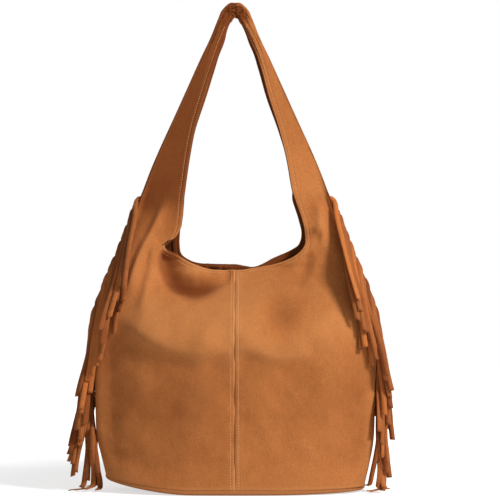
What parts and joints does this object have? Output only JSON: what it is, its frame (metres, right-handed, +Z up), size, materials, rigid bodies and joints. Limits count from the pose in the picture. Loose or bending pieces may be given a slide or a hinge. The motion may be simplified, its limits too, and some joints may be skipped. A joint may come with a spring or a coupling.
{
  "type": "shoulder bag",
  "caption": "Soft suede hobo bag with a one-piece shoulder strap, an oval base, long fringe down both side seams and a magnetic snap inside the mouth.",
  "frame": {"origin": "middle of the base's underside, on the ground the bag stands on", "axes": "+Z up along the held strap, -Y out of the front, +X to the right seen from the front"},
  "size_m": [0.4619, 0.1548, 0.658],
  "materials": {
    "suede": "napped suede, tan",
    "fringe_suede": "napped suede, darker tan",
    "snap_metal": "satin nickel"
  },
  "bodies": {
    "root": {"front_panel_left": "suede", "front_panel_right": "suede", "back_panel_left": "suede", "back_panel_right": "suede", "base_panel": "suede", "fringe_left": "fringe_suede", "fringe_right": "fringe_suede", "closure_tab_front": "fringe_suede", "closure_tab_back": "fringe_suede", "snap_socket": "snap_metal", "snap_stud": "snap_metal"}
  },
  "joints": []
}
